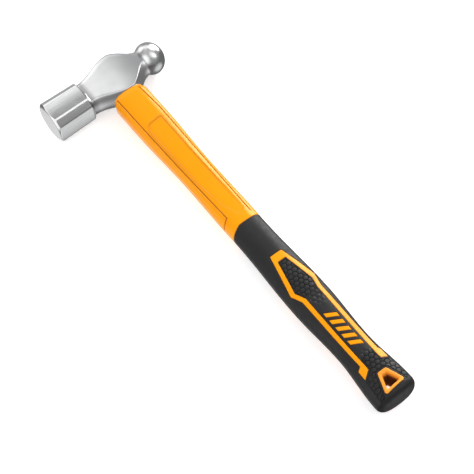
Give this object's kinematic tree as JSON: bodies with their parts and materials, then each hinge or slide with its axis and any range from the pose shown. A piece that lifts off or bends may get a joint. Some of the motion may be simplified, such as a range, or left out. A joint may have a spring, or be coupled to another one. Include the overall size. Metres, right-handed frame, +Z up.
{
  "type": "ball peen hammer",
  "caption": "Ball peen hammer with a forged steel head and an octagonal bell, a fibreglass-cored handle in an orange sleeve, and a black rubber grip with a hang hole.",
  "frame": {"origin": "bottom centre of the hammer's box as it lies on its side", "axes": "+X along the handle from the head to the butt, +Y along the head from the striking face to the ball, +Z up through the cheeks of the head"},
  "size_m": [0.3614, 0.1046, 0.0293],
  "materials": {
    "steel_head": "polished bell and ball, satin blasted cheeks and necks",
    "resin": "cast epoxy",
    "core": "pultruded fibreglass",
    "orange_plastic": "smooth glossy moulding",
    "black_rubber": "soft-touch matt, with honeycomb panels",
    "orange_inlay": "satin inlay flush with the grip"
  },
  "bodies": {
    "root": {"head": "steel_head", "eye_resin": "resin", "resin_dam": "black_rubber", "core_rod": "core", "sleeve": "orange_plastic", "grip": "black_rubber", "accent_left": "orange_inlay", "accent_right": "orange_inlay", "emblem_left": "orange_inlay", "emblem_right": "orange_inlay", "hang_eyelet": "orange_inlay"}
  },
  "joints": []
}
